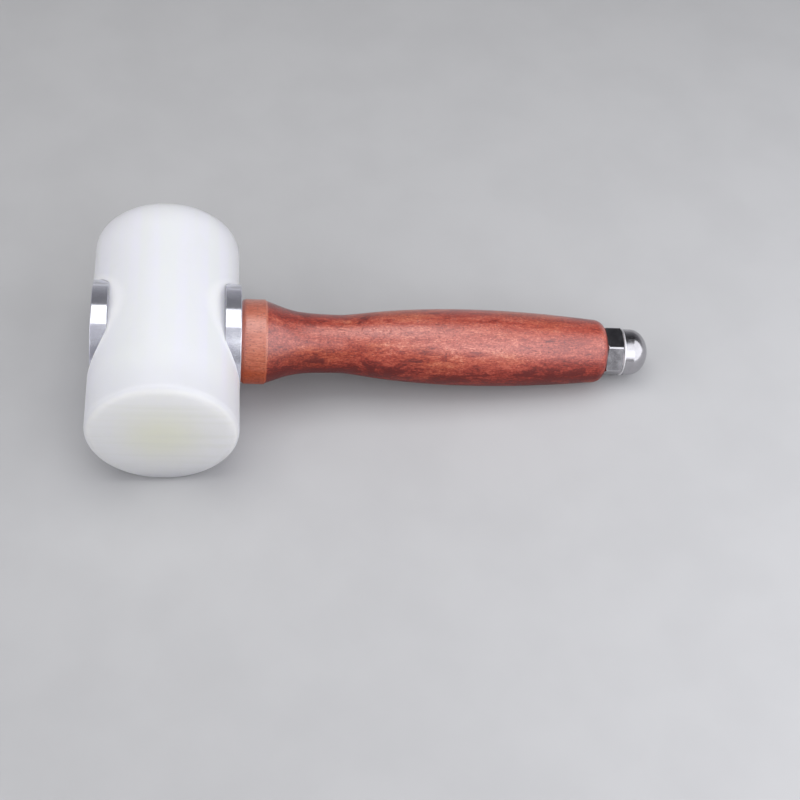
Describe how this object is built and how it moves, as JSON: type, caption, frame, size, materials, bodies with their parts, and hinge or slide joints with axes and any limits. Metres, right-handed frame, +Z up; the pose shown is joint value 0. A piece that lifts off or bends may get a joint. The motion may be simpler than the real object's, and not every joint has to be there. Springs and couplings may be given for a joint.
{
  "type": "leather carving mallet",
  "caption": "Leather carving mallet lying on its side: a round nylon head between aluminium discs, a turned hardwood handle and a long bolt that ends in a domed cap nut.",
  "frame": {"origin": "on the surface that the mallet lies on, under the middle of its bounding box", "axes": "+Z up, +X from the head to the end of the handle, +Y along the head from one striking face to the other"},
  "size_m": [0.2118, 0.09, 0.055],
  "materials": {
    "nylon": "satin, slightly translucent",
    "aluminium": "turned bright",
    "hardwood": "oiled satin",
    "steel": "satin",
    "chrome": "polished"
  },
  "bodies": {
    "root": {"head": "nylon", "outer_disc": "aluminium", "handle_disc": "aluminium", "handle": "hardwood", "draw_bolt": "steel", "cap_nut": "chrome"}
  },
  "joints": []
}
